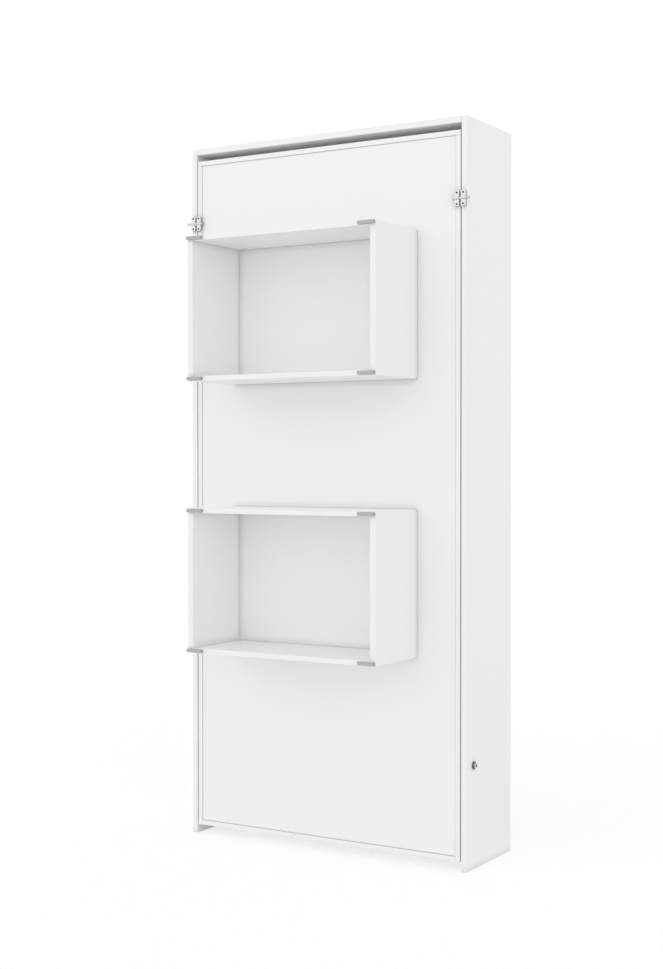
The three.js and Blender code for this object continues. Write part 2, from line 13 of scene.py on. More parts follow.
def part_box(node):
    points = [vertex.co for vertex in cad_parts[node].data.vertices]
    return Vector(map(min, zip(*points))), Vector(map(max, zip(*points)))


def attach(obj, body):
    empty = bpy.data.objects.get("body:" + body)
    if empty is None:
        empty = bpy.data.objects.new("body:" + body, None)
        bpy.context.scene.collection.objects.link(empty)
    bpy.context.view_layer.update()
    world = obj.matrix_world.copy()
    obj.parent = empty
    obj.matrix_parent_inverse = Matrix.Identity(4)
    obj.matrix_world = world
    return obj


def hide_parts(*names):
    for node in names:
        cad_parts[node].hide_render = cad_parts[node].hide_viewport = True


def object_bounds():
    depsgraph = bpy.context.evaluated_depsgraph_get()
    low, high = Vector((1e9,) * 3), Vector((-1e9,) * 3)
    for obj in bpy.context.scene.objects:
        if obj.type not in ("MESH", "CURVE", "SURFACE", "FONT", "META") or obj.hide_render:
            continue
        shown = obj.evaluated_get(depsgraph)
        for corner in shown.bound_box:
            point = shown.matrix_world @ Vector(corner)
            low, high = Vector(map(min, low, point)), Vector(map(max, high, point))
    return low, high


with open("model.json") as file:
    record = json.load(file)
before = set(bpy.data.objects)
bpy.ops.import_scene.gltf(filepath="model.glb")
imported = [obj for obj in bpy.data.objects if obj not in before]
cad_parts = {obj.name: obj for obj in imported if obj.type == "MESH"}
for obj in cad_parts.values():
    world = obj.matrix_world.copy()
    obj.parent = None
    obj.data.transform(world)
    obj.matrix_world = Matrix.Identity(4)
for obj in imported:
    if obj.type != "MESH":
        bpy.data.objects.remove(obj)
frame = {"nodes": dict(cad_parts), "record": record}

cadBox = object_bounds()
bodyOfNode = {}
for body, names in frame["record"]["behaviour"]["bodies"].items():
    for name in names:
        bodyOfNode[name] = body

print("stage: camera")

# Solved from the edges of the cabinet in the photograph, 663 by 969 pixels.
cameraView = {
    "place": (2.45001, -4.05709, 1.18507),
    "turnedLeft": 31.0075,  # degrees
    "tiltedDown": 0.7589,
    "lens": 57.375,  # millimetres on a 36 mm sensor, along the long side
}


def makeCamera():
    data = bpy.data.cameras.new("photoCamera")
    data.lens = cameraView["lens"]
    data.sensor_width = 36
    camera = bpy.data.objects.new("photoCamera", data)
    camera.location = cameraView["place"]
    tilt = math.radians(90 - cameraView["tiltedDown"])
    camera.rotation_euler = (tilt, 0, math.radians(cameraView["turnedLeft"]))
    bpy.context.scene.collection.objects.link(camera)
    bpy.context.scene.camera = camera


makeCamera()
bpy.context.scene.view_settings.view_transform = "Standard"


# Small helpers for nodes and meshes

def addNode(tree, kind, inputs=None, **settings):
    made = tree.nodes.new("ShaderNode" + kind)
    for name, value in settings.items():
        setattr(made, name, value)
    for key, value in (inputs or {}).items():
        if isinstance(value, bpy.types.NodeSocket):
            tree.links.new(value, made.inputs[key])
        else:
            made.inputs[key].default_value = value
    return made


def newMaterial(name, **values):
    material = bpy.data.materials.new(name)
    material.use_nodes = True
    tree = material.node_tree
    tree.nodes.clear()
    shader = addNode(tree, "BsdfPrincipled", values)
    addNode(tree, "OutputMaterial", {"Surface": shader.outputs["BSDF"]})
    return material, tree, shader


def restPlace(tree):
    return addNode(tree, "TexCoord").outputs["Object"]  # metres, in the frame of the folded bed


def math2(tree, operation, first, second=0.0):
    return addNode(tree, "Math", {0: first, 1: second}, operation=operation).outputs[0]


def stretched(tree, place, scale):
    return addNode(tree, "Mapping", {"Vector": place, "Scale": scale}).outputs[0]


def noiseAt(tree, place, scale, detail=2.0, roughness=0.5):
    values = {"Vector": place, "Scale": scale, "Detail": detail, "Roughness": roughness}
    return addNode(tree, "TexNoise", values).outputs["Fac"]


def between(tree, share, low, high):
    values = {"Value": share, "To Min": low, "To Max": high}
    return addNode(tree, "MapRange", values).outputs["Result"]


def mixColours(tree, share, first, second):
    mix = addNode(tree, "Mix", data_type="RGBA")
    for socket, value in zip([mix.inputs[0], mix.inputs[6], mix.inputs[7]], [share, first, second]):
        if isinstance(value, bpy.types.NodeSocket):
            tree.links.new(value, socket)
        else:
            socket.default_value = value
    return mix.outputs[2]


def scaled(tree, vector, factor):
    return addNode(tree, "VectorMath", {0: vector, "Scale": factor}, operation="SCALE").outputs[0]


def mixNumbers(tree, share, first, second):
    mix = addNode(tree, "Mix", {0: share, 2: first, 3: second}, data_type="FLOAT")
    return mix.outputs[0]


def bumpFrom(tree, height, depth, under=None):
    inputs = {"Height": height, "Distance": depth, "Strength": 1.0}
    if under is not None:
        inputs["Normal"] = under
    return addNode(tree, "Bump", inputs).outputs["Normal"]


def plug(tree, shader, **links):
    for name, socket in links.items():
        tree.links.new(socket, shader.inputs[name.replace("_", " ")])


print("stage: studio")

studio = {
    "skyLight": 0.86,
    "lamps": [(0.33, (0.9, -1, 0.3)), (0.22, (-0.6, -1, 0.6))],  # strength, and where it shines from
    "lampSpread": 60,  # degrees, so that the shadows are soft
    "lightBounces": 12,  # white boards hand light on many times, most of all inside the shelf boxes
    "floorTone": 0.93,
    "floorShade": 0.30,  # how much of the light and shadow on the floor the camera sees
    "floorGlow": 0.72,  # added for the camera alone, so that the open floor is white
    "floorHalf": 60,
    "floorDrop": 0.0004,  # keeps the floor off the undersides that stand on it
}


# One for rays that come from the camera or by way of metal, nothing for those that light the object.
def seenShare(tree):
    path = addNode(tree, "LightPath")
    mirror = math2(tree, "MAXIMUM", path.outputs["Is Glossy Ray"], path.outputs["Is Transmission Ray"])
    return math2(tree, "MAXIMUM", path.outputs["Is Camera Ray"], mirror)


def makeWorld():
    world = bpy.data.worlds.new("studioWorld")
    bpy.context.scene.world = world
    world.use_nodes = True
    tree = world.node_tree
    tree.nodes.clear()
    sky = addNode(tree, "Background", {"Color": (1, 1, 1, 1), "Strength": studio["skyLight"]})
    backdrop = addNode(tree, "Background", {"Color": (1, 1, 1, 1), "Strength": 1})
    mix = addNode(tree, "MixShader", {0: seenShare(tree), 1: sky.outputs[0], 2: backdrop.outputs[0]})
    addNode(tree, "OutputWorld", {"Surface": mix.outputs[0]})


def makeFloor():
    half = studio["floorHalf"]
    mesh = bpy.data.meshes.new("studioFloor")
    corners = [(-half, -half, 0), (half, -half, 0), (half, half, 0), (-half, half, 0)]
    mesh.from_pydata(corners, [], [(0, 1, 2, 3)])
    floor = bpy.data.objects.new("studioFloor", mesh)
    floor.location.z = cadBox[0].z - studio["floorDrop"]
    bpy.context.scene.collection.objects.link(floor)
    material = bpy.data.materials.new("studioFloor")
    material.use_nodes = True
    tree = material.node_tree
    tree.nodes.clear()
    matt, faint = [
        addNode(tree, "BsdfDiffuse", {"Color": (tone, tone, tone, 1)}).outputs[0]
        for tone in (studio["floorTone"], studio["floorShade"])
    ]
    glow = addNode(tree, "Emission", {"Strength": studio["floorGlow"]}).outputs[0]
    seen = addNode(tree, "AddShader", {0: faint, 1: glow}).outputs[0]
    floorMix = addNode(tree, "MixShader", {0: seenShare(tree), 1: matt, 2: seen})
    addNode(tree, "OutputMaterial", {"Surface": floorMix.outputs[0]})
    mesh.materials.append(material)


def makeLamps():
    for strength, shinesFrom in studio["lamps"]:
        data = bpy.data.lights.new("softLamp", "SUN")
        data.energy = strength
        data.angle = math.radians(studio["lampSpread"])
        lamp = bpy.data.objects.new("softLamp", data)
        lamp.rotation_mode = "QUATERNION"
        lamp.rotation_quaternion = Vector(shinesFrom).to_track_quat("Z", "Y")
        bpy.context.scene.collection.objects.link(lamp)
    bpy.context.scene.cycles.diffuse_bounces = studio["lightBounces"]


makeWorld()
makeFloor()
makeLamps()


print("stage: board, metal and wood finishes")

melamine = {
    "face": (0.910, 0.910, 0.909, 1),
    "edge": (0.902, 0.902, 0.901, 1),
    "faceFrom": 0.9,  # how squarely the surface faces the thin way to count as a face
    "roughness": 0.42,
    "edgeSmoother": 0.08,  # taken off the roughness on the edge band
    "rubScale": 45,
    "rubRange": 0.05,
    "grainSize": 0.0011,
    "grainDepth": 0.000018,
    "cloudSize": 0.35,  # slow drift of tone over a large board
    "cloudDepth": 0.006,
    "paintedShadeReach": 0.022,  # how far the painted shade of a corner runs out over the boards
    "paintedShadeDarkest": 0.85,
}


# Painted shade for corners: how much light would reach a place past the surfaces close to it, from the given
# shade up to one, to be multiplied into the base colour.
def paintedCornerShade(tree, reach, shade):
    shelter = addNode(tree, "AmbientOcclusion", {"Distance": reach}, samples=5).outputs["AO"]
    return addNode(tree, "MapRange", {"Value": shelter, "From Min": 0.5, "To Min": shade}).outputs["Result"]


# White melamine faces with an edge band wherever the surface turns away from the board's thin way. Painted
# shade darkens the base colour in the corners and joints.
def whiteMelamine(thinWay):
    material, tree, shader = newMaterial("whiteMelamine" + "XYZ"[thinWay], Roughness=melamine["roughness"])
    coordinates = addNode(tree, "TexCoord")
    place = coordinates.outputs["Object"]
    parts = addNode(tree, "SeparateXYZ", {0: coordinates.outputs["Normal"]}).outputs
    flat = math2(tree, "ABSOLUTE", parts[thinWay])
    isFace = math2(tree, "GREATER_THAN", flat, melamine["faceFrom"])
    cloud = noiseAt(tree, place, 1 / melamine["cloudSize"], 3)
    cloud = between(tree, cloud, 1 - melamine["cloudDepth"], 1 + melamine["cloudDepth"])
    # painted shade: the base colour is darkened in corners and joints, on top of the random cloud of tone
    corner = paintedCornerShade(tree, melamine["paintedShadeReach"], melamine["paintedShadeDarkest"])
    shade = math2(tree, "MULTIPLY", cloud, corner)
    plain = mixColours(tree, isFace, melamine["edge"], melamine["face"])
    grain = noiseAt(tree, place, 1 / melamine["grainSize"], 1)
    grainDepth = math2(tree, "MULTIPLY", grain, isFace)  # the edge band is smooth
    rub = noiseAt(tree, place, melamine["rubScale"], 4, 0.6)
    rubbed = between(tree, rub, -melamine["rubRange"], melamine["rubRange"])
    rough = math2(tree, "ADD", rubbed, melamine["roughness"])
    rough = math2(tree, "SUBTRACT", rough, between(tree, isFace, melamine["edgeSmoother"], 0))
    plug(
        tree, shader,
        Base_Color=scaled(tree, plain, shade),
        Roughness=rough,
        Normal=bumpFrom(tree, grainDepth, melamine["grainDepth"]),
    )
    return material


nickel = {
    "bright": (0.71, 0.71, 0.70, 1),
    "plain": (0.63, 0.62, 0.60, 1),
    "paintedShadedSides": (0.46, 0.46, 0.45, 1),
    "roughness": 0.27,
    "stainScale": 90,
    "stainTone": 0.9,
    "brushPitch": 0.00035,
    "brushStretch": 0.06,
    "brushDepth": 0.000006,
    "litFaceFrom": 0.3,  # how squarely a plate face looks forward, from painted shade to painted light
    "litFaceTo": 0.9,
    "paintedShadeBlack": (0.16, 0.16, 0.16, 1),
    "washerInside": 0.0078,  # the washer of the pivot bolt starts at this radius; it is painted black as shade
    "socketRadius": 0.0037,
    "rimDepth": 0.0003,  # the socket is painted black as shade from this far in
}


def nickelOn(tree, shader, colour):
    place = restPlace(tree)
    along = stretched(tree, place, (nickel["brushStretch"], 1, 1))
    brush = noiseAt(tree, along, 1 / nickel["brushPitch"], 2)
    stain = noiseAt(tree, place, nickel["stainScale"], 3)
    darker = scaled(tree, colour, nickel["stainTone"])
    plug(
        tree, shader,
        Base_Color=mixColours(tree, stain, colour, darker),
        Roughness=between(tree, stain, nickel["roughness"] - 0.06, nickel["roughness"] + 0.08),
        Normal=bumpFrom(tree, brush, nickel["brushDepth"]),
    )


def satinNickel():
    material, tree, shader = newMaterial("satinNickel", Metallic=1.0)
    plain = addNode(tree, "RGB")
    plain.outputs[0].default_value = nickel["plain"]
    nickelOn(tree, shader, plain.outputs[0])
    return material


# Die cast plates, with painted light and shade: faces that look forward or back are painted lighter and the
# side faces are painted darker, as lit and shaded copies of the same nickel.
def castNickel():
    material, tree, shader = newMaterial("castNickel", Metallic=1.0)
    normal = addNode(tree, "TexCoord").outputs["Normal"]
    facing = math2(tree, "ABSOLUTE", addNode(tree, "SeparateXYZ", {0: normal}).outputs[1])
    values = {"Value": facing, "From Min": nickel["litFaceFrom"], "From Max": nickel["litFaceTo"]}
    # painted light on the faces that look forward or back, painted shade on the sides
    litFaceShare = addNode(tree, "MapRange", values).outputs["Result"]
    nickelOn(tree, shader, mixColours(tree, litFaceShare, nickel["paintedShadedSides"], nickel["bright"]))
    return material


# The head of the pivot bolt is nickel. The washer under it and the inside of its socket are painted black:
# painted shade round the head and in the recess.
def boltNickel(node):
    material, tree, shader = newMaterial("boltNickel_" + node, Metallic=1.0)
    low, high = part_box(node)
    axis = (low + high) / 2
    away = addNode(tree, "VectorMath", {0: restPlace(tree), 1: axis}, operation="SUBTRACT").outputs[0]
    flat = addNode(tree, "VectorMath", {0: away, 1: (0, 1, 1)}, operation="MULTIPLY").outputs[0]
    radius = addNode(tree, "VectorMath", {0: flat}, operation="LENGTH").outputs["Value"]
    along = math2(tree, "ABSOLUTE", addNode(tree, "SeparateXYZ", {0: restPlace(tree)}).outputs[0])
    isWasher = math2(tree, "GREATER_THAN", radius, nickel["washerInside"])
    isInner = math2(tree, "LESS_THAN", radius, nickel["socketRadius"])
    isDeep = math2(tree, "LESS_THAN", along, max(high.x, -low.x) - nickel["rimDepth"])
    # painted shade: the washer and the deep part of the socket are painted black
    isPaintedShade = math2(tree, "MAXIMUM", isWasher, math2(tree, "MULTIPLY", isInner, isDeep))
    nickelOn(tree, shader, mixColours(tree, isPaintedShade, nickel["plain"], nickel["paintedShadeBlack"]))
    return material


padGrey = {
    "colour": (0.43, 0.43, 0.42, 1),
    "paintedShadeEnds": (0.30, 0.30, 0.30, 1),
    "roughness": 0.5,
    "grainSize": 0.0006,
    "grainDepth": 0.00003,
    "grainTone": 1.12,
}


# Grey pads. Their end faces, which turn along X, are painted darker: painted shade.
def greyPad():
    material, tree, shader = newMaterial("greyPad")
    coordinates = addNode(tree, "TexCoord")
    grain = noiseAt(tree, coordinates.outputs["Object"], 1 / padGrey["grainSize"], 2)
    normal = addNode(tree, "SeparateXYZ", {0: coordinates.outputs["Normal"]}).outputs
    # painted shade: the faces that turn along X are painted darker than the front
    sideways = math2(tree, "ABSOLUTE", normal[0])
    colour = mixColours(tree, sideways, padGrey["colour"], padGrey["paintedShadeEnds"])
    lighter = scaled(tree, colour, padGrey["grainTone"])
    plug(
        tree, shader,
        Base_Color=mixColours(tree, grain, colour, lighter),
        Roughness=between(tree, grain, padGrey["roughness"] - 0.08, padGrey["roughness"] + 0.08),
        Normal=bumpFrom(tree, grain, padGrey["grainDepth"]),
    )
    return material


strutPaint = {
    "colour": (0.014, 0.014, 0.015, 1),
    "roughness": 0.28,
    "coat": 0.4,
    "coatRoughness": 0.12,
    "ripple": 0.002,
    "rippleDepth": 0.00001,
    "dustScale": 260,
    "dustTone": 2.2,
}


def blackEnamel():
    material, tree, shader = newMaterial("blackEnamel")
    shader.inputs["Coat Weight"].default_value = strutPaint["coat"]
    shader.inputs["Coat Roughness"].default_value = strutPaint["coatRoughness"]
    place = restPlace(tree)
    ripple = noiseAt(tree, place, 1 / strutPaint["ripple"], 2)
    dust = noiseAt(tree, place, strutPaint["dustScale"], 4, 0.7)
    dusty = tuple(strutPaint["dustTone"] * value for value in strutPaint["colour"][:3]) + (1,)
    plug(
        tree, shader,
        Base_Color=mixColours(tree, between(tree, dust, 0, 0.6), strutPaint["colour"], dusty),
        Roughness=between(tree, dust, strutPaint["roughness"], strutPaint["roughness"] + 0.14),
        Normal=bumpFrom(tree, ripple, strutPaint["rippleDepth"]),
    )
    return material


birch = {
    "pale": (0.72, 0.55, 0.36, 1),
    "dark": (0.56, 0.38, 0.21, 1),
    "glueLine": (0.26, 0.16, 0.09, 1),
    "grainSize": 0.010,
    "grainStretch": 0.035,
    "roughness": 0.5,
    "coat": 0.15,
    "coatRoughness": 0.3,
    "ringsAcross": 5.0,
    "poreScale": 1400,
    "poreDepth": 0.00006,
    "plyThickness": 0.0014,
    "faceFrom": 0.9,
    "endGrainTone": 0.45,
}


# Clear-varnished birch. The grain runs along X or Z. Plywood shows its plies on every narrow face.
def birchWood(grainWay, plies):
    material, tree, shader = newMaterial("birchPly" if plies else "birchRail")
    shader.inputs["Coat Weight"].default_value = birch["coat"]
    shader.inputs["Coat Roughness"].default_value = birch["coatRoughness"]
    coordinates = addNode(tree, "TexCoord")
    place = coordinates.outputs["Object"]
    scale = [1, 1, 1]
    scale[grainWay] = birch["grainStretch"]
    along = stretched(tree, place, scale)
    figure = noiseAt(tree, along, 1 / birch["grainSize"], 4, 0.6)
    pores = noiseAt(tree, along, birch["poreScale"], 2, 0.7)
    rings = math2(tree, "FRACT", math2(tree, "MULTIPLY", figure, birch["ringsAcross"]))
    tone = math2(tree, "MULTIPLY", math2(tree, "ADD", rings, pores), 0.5)
    colour = mixColours(tree, tone, birch["pale"], birch["dark"])
    if plies:
        normal = addNode(tree, "SeparateXYZ", {0: coordinates.outputs["Normal"]}).outputs[1]
        isEdge = math2(tree, "LESS_THAN", math2(tree, "ABSOLUTE", normal), birch["faceFrom"])
        depth = addNode(tree, "SeparateXYZ", {0: place}).outputs[1]
        ply = math2(tree, "FRACT", math2(tree, "DIVIDE", depth, 2 * birch["plyThickness"]))
        isCross = math2(tree, "GREATER_THAN", ply, 0.5)
        endGrain = math2(tree, "MULTIPLY", isCross, birch["endGrainTone"])
        plyColour = mixColours(tree, endGrain, birch["pale"], birch["glueLine"])
        colour = mixColours(tree, isEdge, colour, plyColour)
    plug(
        tree, shader,
        Base_Color=colour,
        Roughness=between(tree, tone, birch["roughness"] - 0.08, birch["roughness"] + 0.1),
        Normal=bumpFrom(tree, pores, birch["poreDepth"]),
    )
    return material


nylonWhite = {
    "colour": (0.74, 0.73, 0.69, 1),
    "warmer": (0.70, 0.68, 0.62, 1),
    "roughness": 0.42,
    "glow": 0.15,
    "glowReach": (0.002, 0.002, 0.0018),
    "flowScale": 160,
    "skinScale": 1800,
    "skinDepth": 0.00001,
}


def mouldedNylon():
    material, tree, shader = newMaterial("mouldedNylon")
    shader.inputs["Subsurface Weight"].default_value = nylonWhite["glow"]
    shader.inputs["Subsurface Radius"].default_value = nylonWhite["glowReach"]
    place = restPlace(tree)
    flow = noiseAt(tree, place, nylonWhite["flowScale"], 2)
    skin = noiseAt(tree, place, nylonWhite["skinScale"], 1)
    plug(
        tree, shader,
        Base_Color=mixColours(tree, flow, nylonWhite["colour"], nylonWhite["warmer"]),
        Roughness=between(tree, flow, nylonWhite["roughness"] - 0.05, nylonWhite["roughness"] + 0.1),
        Normal=bumpFrom(tree, skin, nylonWhite["skinDepth"]),
    )
    return material


ticking = {
    "light": (0.86, 0.85, 0.82, 1),
    "shade": (0.74, 0.73, 0.70, 1),
    "trellisPitch": 0.045,
    "trellisDepth": 0.0012,
    "trellisPower": 0.35,  # below one the seams are narrow and the lozenges flat
    "ribPitch": 0.012,
    "knitPitch": 0.0016,
    "knitStretch": 1.3,
    "knitDepth": 0.00025,
    "fuzzScale": 900,
    "fuzzDepth": 0.00012,
    "patternShare": 0.6,  # of the tone, the rest is fuzz
    "turnFrom": 0.7,  # how squarely the cloth faces a way to take that way's pattern
    "sheen": 0.25,
    "sheenRoughness": 0.4,
}


def waveOver(tree, along, pitch):
    return math2(tree, "ABSOLUTE", math2(tree, "SINE", math2(tree, "MULTIPLY", along, math.pi / pitch)))


# Woven cover with a raised trellis on the sleeping side and upright ribs on the border.
def tickingCloth():
    material, tree, shader = newMaterial("tickingCloth", Roughness=0.88)
    shader.inputs["Sheen Weight"].default_value = ticking["sheen"]
    shader.inputs["Sheen Roughness"].default_value = ticking["sheenRoughness"]
    coordinates = addNode(tree, "TexCoord")
    place = coordinates.outputs["Object"]
    x, y, z = addNode(tree, "SeparateXYZ", {0: place}).outputs
    turned = addNode(tree, "SeparateXYZ", {0: coordinates.outputs["Normal"]}).outputs
    onSide, onTop = [
        math2(tree, "GREATER_THAN", math2(tree, "ABSOLUTE", turned[way]), ticking["turnFrom"])
        for way in (0, 1)
    ]
    rising = waveOver(tree, math2(tree, "ADD", x, z), ticking["trellisPitch"])
    falling = waveOver(tree, math2(tree, "SUBTRACT", x, z), ticking["trellisPitch"])
    trellis = math2(tree, "POWER", math2(tree, "MINIMUM", rising, falling), ticking["trellisPower"])
    ribs = [waveOver(tree, along, ticking["ribPitch"]) for along in (x, z)]
    pattern = mixNumbers(tree, onTop, mixNumbers(tree, onSide, *ribs), trellis)
    across = math2(tree, "ADD", x, math2(tree, "MULTIPLY", y, 0.5))
    knitAcross = waveOver(tree, across, ticking["knitPitch"])
    knitAlong = waveOver(tree, math2(tree, "ADD", z, y), ticking["knitPitch"] * ticking["knitStretch"])
    knit = math2(tree, "MULTIPLY", knitAcross, knitAlong)
    fuzz = noiseAt(tree, place, ticking["fuzzScale"], 3, 0.7)
    patternTone = math2(tree, "MULTIPLY", pattern, ticking["patternShare"])
    fuzzTone = math2(tree, "MULTIPLY", fuzz, 1 - ticking["patternShare"])
    tone = math2(tree, "ADD", patternTone, fuzzTone)
    patternBump = bumpFrom(tree, pattern, ticking["trellisDepth"])
    knitBump = bumpFrom(tree, knit, ticking["knitDepth"], patternBump)
    plug(
        tree, shader,
        Base_Color=mixColours(tree, tone, ticking["shade"], ticking["light"]),
        Roughness=between(tree, fuzz, 0.82, 0.95),
        Normal=bumpFrom(tree, fuzz, ticking["fuzzDepth"], knitBump),
    )
    return material


webbing = {
    "blackLight": (0.060, 0.061, 0.064, 1),
    "blackDark": (0.022, 0.022, 0.024, 1),
    "greyLight": (0.60, 0.60, 0.58, 1),
    "greyDark": (0.42, 0.42, 0.41, 1),
    "ribPitch": 0.0022,
    "chevronPitch": 0.010,
    "depth": 0.0004,
    "threadScale": 1500,
    "sheen": 0.2,
    "sheenRoughness": 0.5,
}


# Herringbone webbing. The ribs run across the band wherever it lies.
def wovenBand(name, shade):
    material, tree, shader = newMaterial(name, Roughness=0.8)
    shader.inputs["Sheen Weight"].default_value = webbing["sheen"]
    shader.inputs["Sheen Roughness"].default_value = webbing["sheenRoughness"]
    place = restPlace(tree)
    x, y, z = addNode(tree, "SeparateXYZ", {0: place}).outputs
    lane = math2(tree, "PINGPONG", z, webbing["chevronPitch"] / 2)
    along = math2(tree, "ADD", math2(tree, "ADD", x, y), lane)
    ribs = math2(tree, "SINE", math2(tree, "MULTIPLY", along, 2 * math.pi / webbing["ribPitch"]))
    ribs = between(tree, ribs, 0.5, 1)
    threads = noiseAt(tree, stretched(tree, place, (1, 1, 4)), webbing["threadScale"], 2, 0.6)
    weave = math2(tree, "MULTIPLY", ribs, between(tree, threads, 0.6, 1))
    plug(
        tree, shader,
        Base_Color=mixColours(tree, weave, webbing[shade + "Dark"], webbing[shade + "Light"]),
        Roughness=between(tree, threads, 0.7, 0.9),
        Normal=bumpFrom(tree, weave, webbing["depth"]),
    )
    return material


# The finish of every CAD piece

boardFinish = [whiteMelamine(way) for way in range(3)]
metalFinish = satinNickel()
plateFinish = castNickel()
padFinish = greyPad()
strutFinish = blackEnamel()
slatFinish = birchWood(0, True)
railFinish = birchWood(2, False)
bushFinish = mouldedNylon()

finishByWord = [
    ("foot_top", padFinish), ("foot_bottom", padFinish), ("strut_cylinder", strutFinish),
    ("bed_slat", slatFinish), ("slat_rail", railFinish), ("pivot_bush", bushFinish),
    ("latch_bolt", metalFinish), ("latch_", plateFinish), ("strut_", metalFinish),
    ("pivot_bolt_right", boltNickel("pivot_bolt_right")), ("pivot_bolt_left", boltNickel("pivot_bolt_left")),
]


def thinWayOf(node):
    low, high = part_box(node)
    size = list(high - low)
    return size.index(min(size))


def finishOf(node):
    for word, finish in finishByWord:
        if word in node:
            return finish
    return boardFinish[thinWayOf(node)]


def dressCadPieces():
    for node, piece in frame["nodes"].items():
        finish = finishOf(node)
        if not piece.material_slots:
            piece.data.materials.append(finish)
        for slot in piece.material_slots:
            slot.material = finish


dressCadPieces()


# Shapes made by hand

# The outside of a block of counted cells. Places run from -1 to 1 each way.
def blockSurface(counts):
    mesh = bmesh.new()
    made = {}
    for way in range(3):
        first, second = [other for other in range(3) if other != way]
        for end in (0, counts[way]):
            for i in range(counts[first]):
                for j in range(counts[second]):
                    ring = []
                    for stepI, stepJ in ((0, 0), (1, 0), (1, 1), (0, 1)):
                        cell = [0, 0, 0]
                        cell[way], cell[first], cell[second] = end, i + stepI, j + stepJ
                        key = tuple(cell)
                        if key not in made:
                            made[key] = mesh.verts.new([2 * at / count - 1 for at, count in zip(key, counts)])
                        ring.append(made[key])
                    mesh.faces.new(ring)
    bmesh.ops.recalc_face_normals(mesh, faces=mesh.faces)
    return mesh


# A profile of radius and height turned round Z.
def turnedMesh(profile, steps):
    mesh = bmesh.new()
    rings = []
    for radius, height in profile:
        if radius == 0:
            rings.append([mesh.verts.new((0, 0, height))] * steps)
            continue
        turns = [2 * math.pi * i / steps for i in range(steps)]
        rings.append([mesh.verts.new((radius * math.cos(t), radius * math.sin(t), height)) for t in turns])
    for low, high in zip(rings, rings[1:]):
        for i in range(steps):
            ring = []
            for corner in (low[i], low[i - 1], high[i - 1], high[i]):
                if corner not in ring:
                    ring.append(corner)
            mesh.faces.new(ring)
    bmesh.ops.recalc_face_normals(mesh, faces=mesh.faces)
    return mesh


# A section swept along a line of places, closed into a loop or capped at both ends.
def sweptMesh(mesh, places, section, outward, closed):
    count = len(places)
    rings = []
    for i, place in enumerate(places):
        before = places[i - 1] if closed or i > 0 else place
        after = places[(i + 1) % count] if closed or i < count - 1 else place
        ahead = (after - before).normalized()
        up = outward[i] - ahead * outward[i].dot(ahead)
        up.normalize()
        side = ahead.cross(up)
        rings.append([mesh.verts.new(place + side * a + up * b) for a, b in section])
    pairs = zip(rings, rings[1:] + rings[:1]) if closed else zip(rings, rings[1:])
    for low, high in pairs:
        for i in range(len(section)):
            mesh.faces.new((low[i], low[i - 1], high[i - 1], high[i]))
    if not closed:
        mesh.faces.new(rings[0])
        mesh.faces.new(list(reversed(rings[-1])))


def roundSection(radius, steps):
    turns = [2 * math.pi * i / steps for i in range(steps)]
    return [(radius * math.cos(t), radius * math.sin(t)) for t in turns]


sharpFrom = 40  # degrees between two faces


def addPiece(name, mesh, finish, body):
    bmesh.ops.recalc_face_normals(mesh, faces=mesh.faces)
    data = bpy.data.meshes.new(name)
    mesh.to_mesh(data)
    mesh.free()
    data.materials.append(finish)
    for face in data.polygons:
        face.use_smooth = True
    data.set_sharp_from_angle(angle=math.radians(sharpFrom))
    piece = bpy.data.objects.new(name, data)
    bpy.context.scene.collection.objects.link(piece)
    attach(piece, body)
    return piece


# Adds a copy of the template to the mesh, moved by the given matrix.
def copyInto(mesh, template, place):
    extra = template.copy()
    extra.transform(place)
    carrier = bpy.data.meshes.new("carrier")
    extra.to_mesh(carrier)
    extra.free()
    mesh.from_mesh(carrier)
    bpy.data.meshes.remove(carrier)


# Puts the finished mesh in the place of the mesh and its modifiers.
def applyModifiers(piece):
    graph = bpy.context.evaluated_depsgraph_get()
    finished = bpy.data.meshes.new_from_object(piece.evaluated_get(graph))
    piece.modifiers.clear()
    piece.data = finished


print("stage: screws")

screw = {
    "headRadius": 0.0030,
    "headHeight": 0.0018,
    "sides": 32,
    "crossLength": 0.0034,
    "crossWidth": 0.0008,
    "crossDepth": 0.0011,
    "crossTaper": 0.35,  # length of the recess at its bottom, as a share
    "firstTurn": 0.4,
    "furtherTurn": 1.1,
    "mergeWithin": 0.00001,  # closer corners become one after the recess is cut
    "wallScrewsAt": (-0.42, -0.14, 0.14, 0.42),
    "wallScrewScale": 2.0,
}
# The right-hand plate of each pair: how far the screws sit in from its outer edge and behind its
# front, how far apart they stand, and which way their heads face.
screwedPlates = {
    "latch_keeper": (0.0080, 0.0027, 0.033, (0, -1, 0)),
    "latch_guide": (0.0087, 0.0027, 0.033, (0, -1, 0)),
    "strut_stud_plate": (0.0018, 0.0150, 0.029, (-1, 0, 0)),
    "strut_bracket": (0.0072, 0.0025, 0.040, (0, 1, 0)),
}


# Takes the second closed mesh out of the first one.
def cutAway(mesh, cutter):
    blanks = []
    for part in (mesh, cutter):
        data = bpy.data.meshes.new("blank")
        part.to_mesh(data)
        part.free()
        blanks.append(bpy.data.objects.new("blank", data))
        bpy.context.scene.collection.objects.link(blanks[-1])
    cut = blanks[0].modifiers.new("Boolean", "BOOLEAN")
    cut.operation, cut.solver, cut.object = "DIFFERENCE", "EXACT", blanks[1]
    graph = bpy.context.evaluated_depsgraph_get()
    result = bmesh.new()
    result.from_mesh(blanks[0].evaluated_get(graph).data)
    for blank in blanks:
        data = blank.data
        bpy.data.objects.remove(blank)
        bpy.data.meshes.remove(data)
    return result


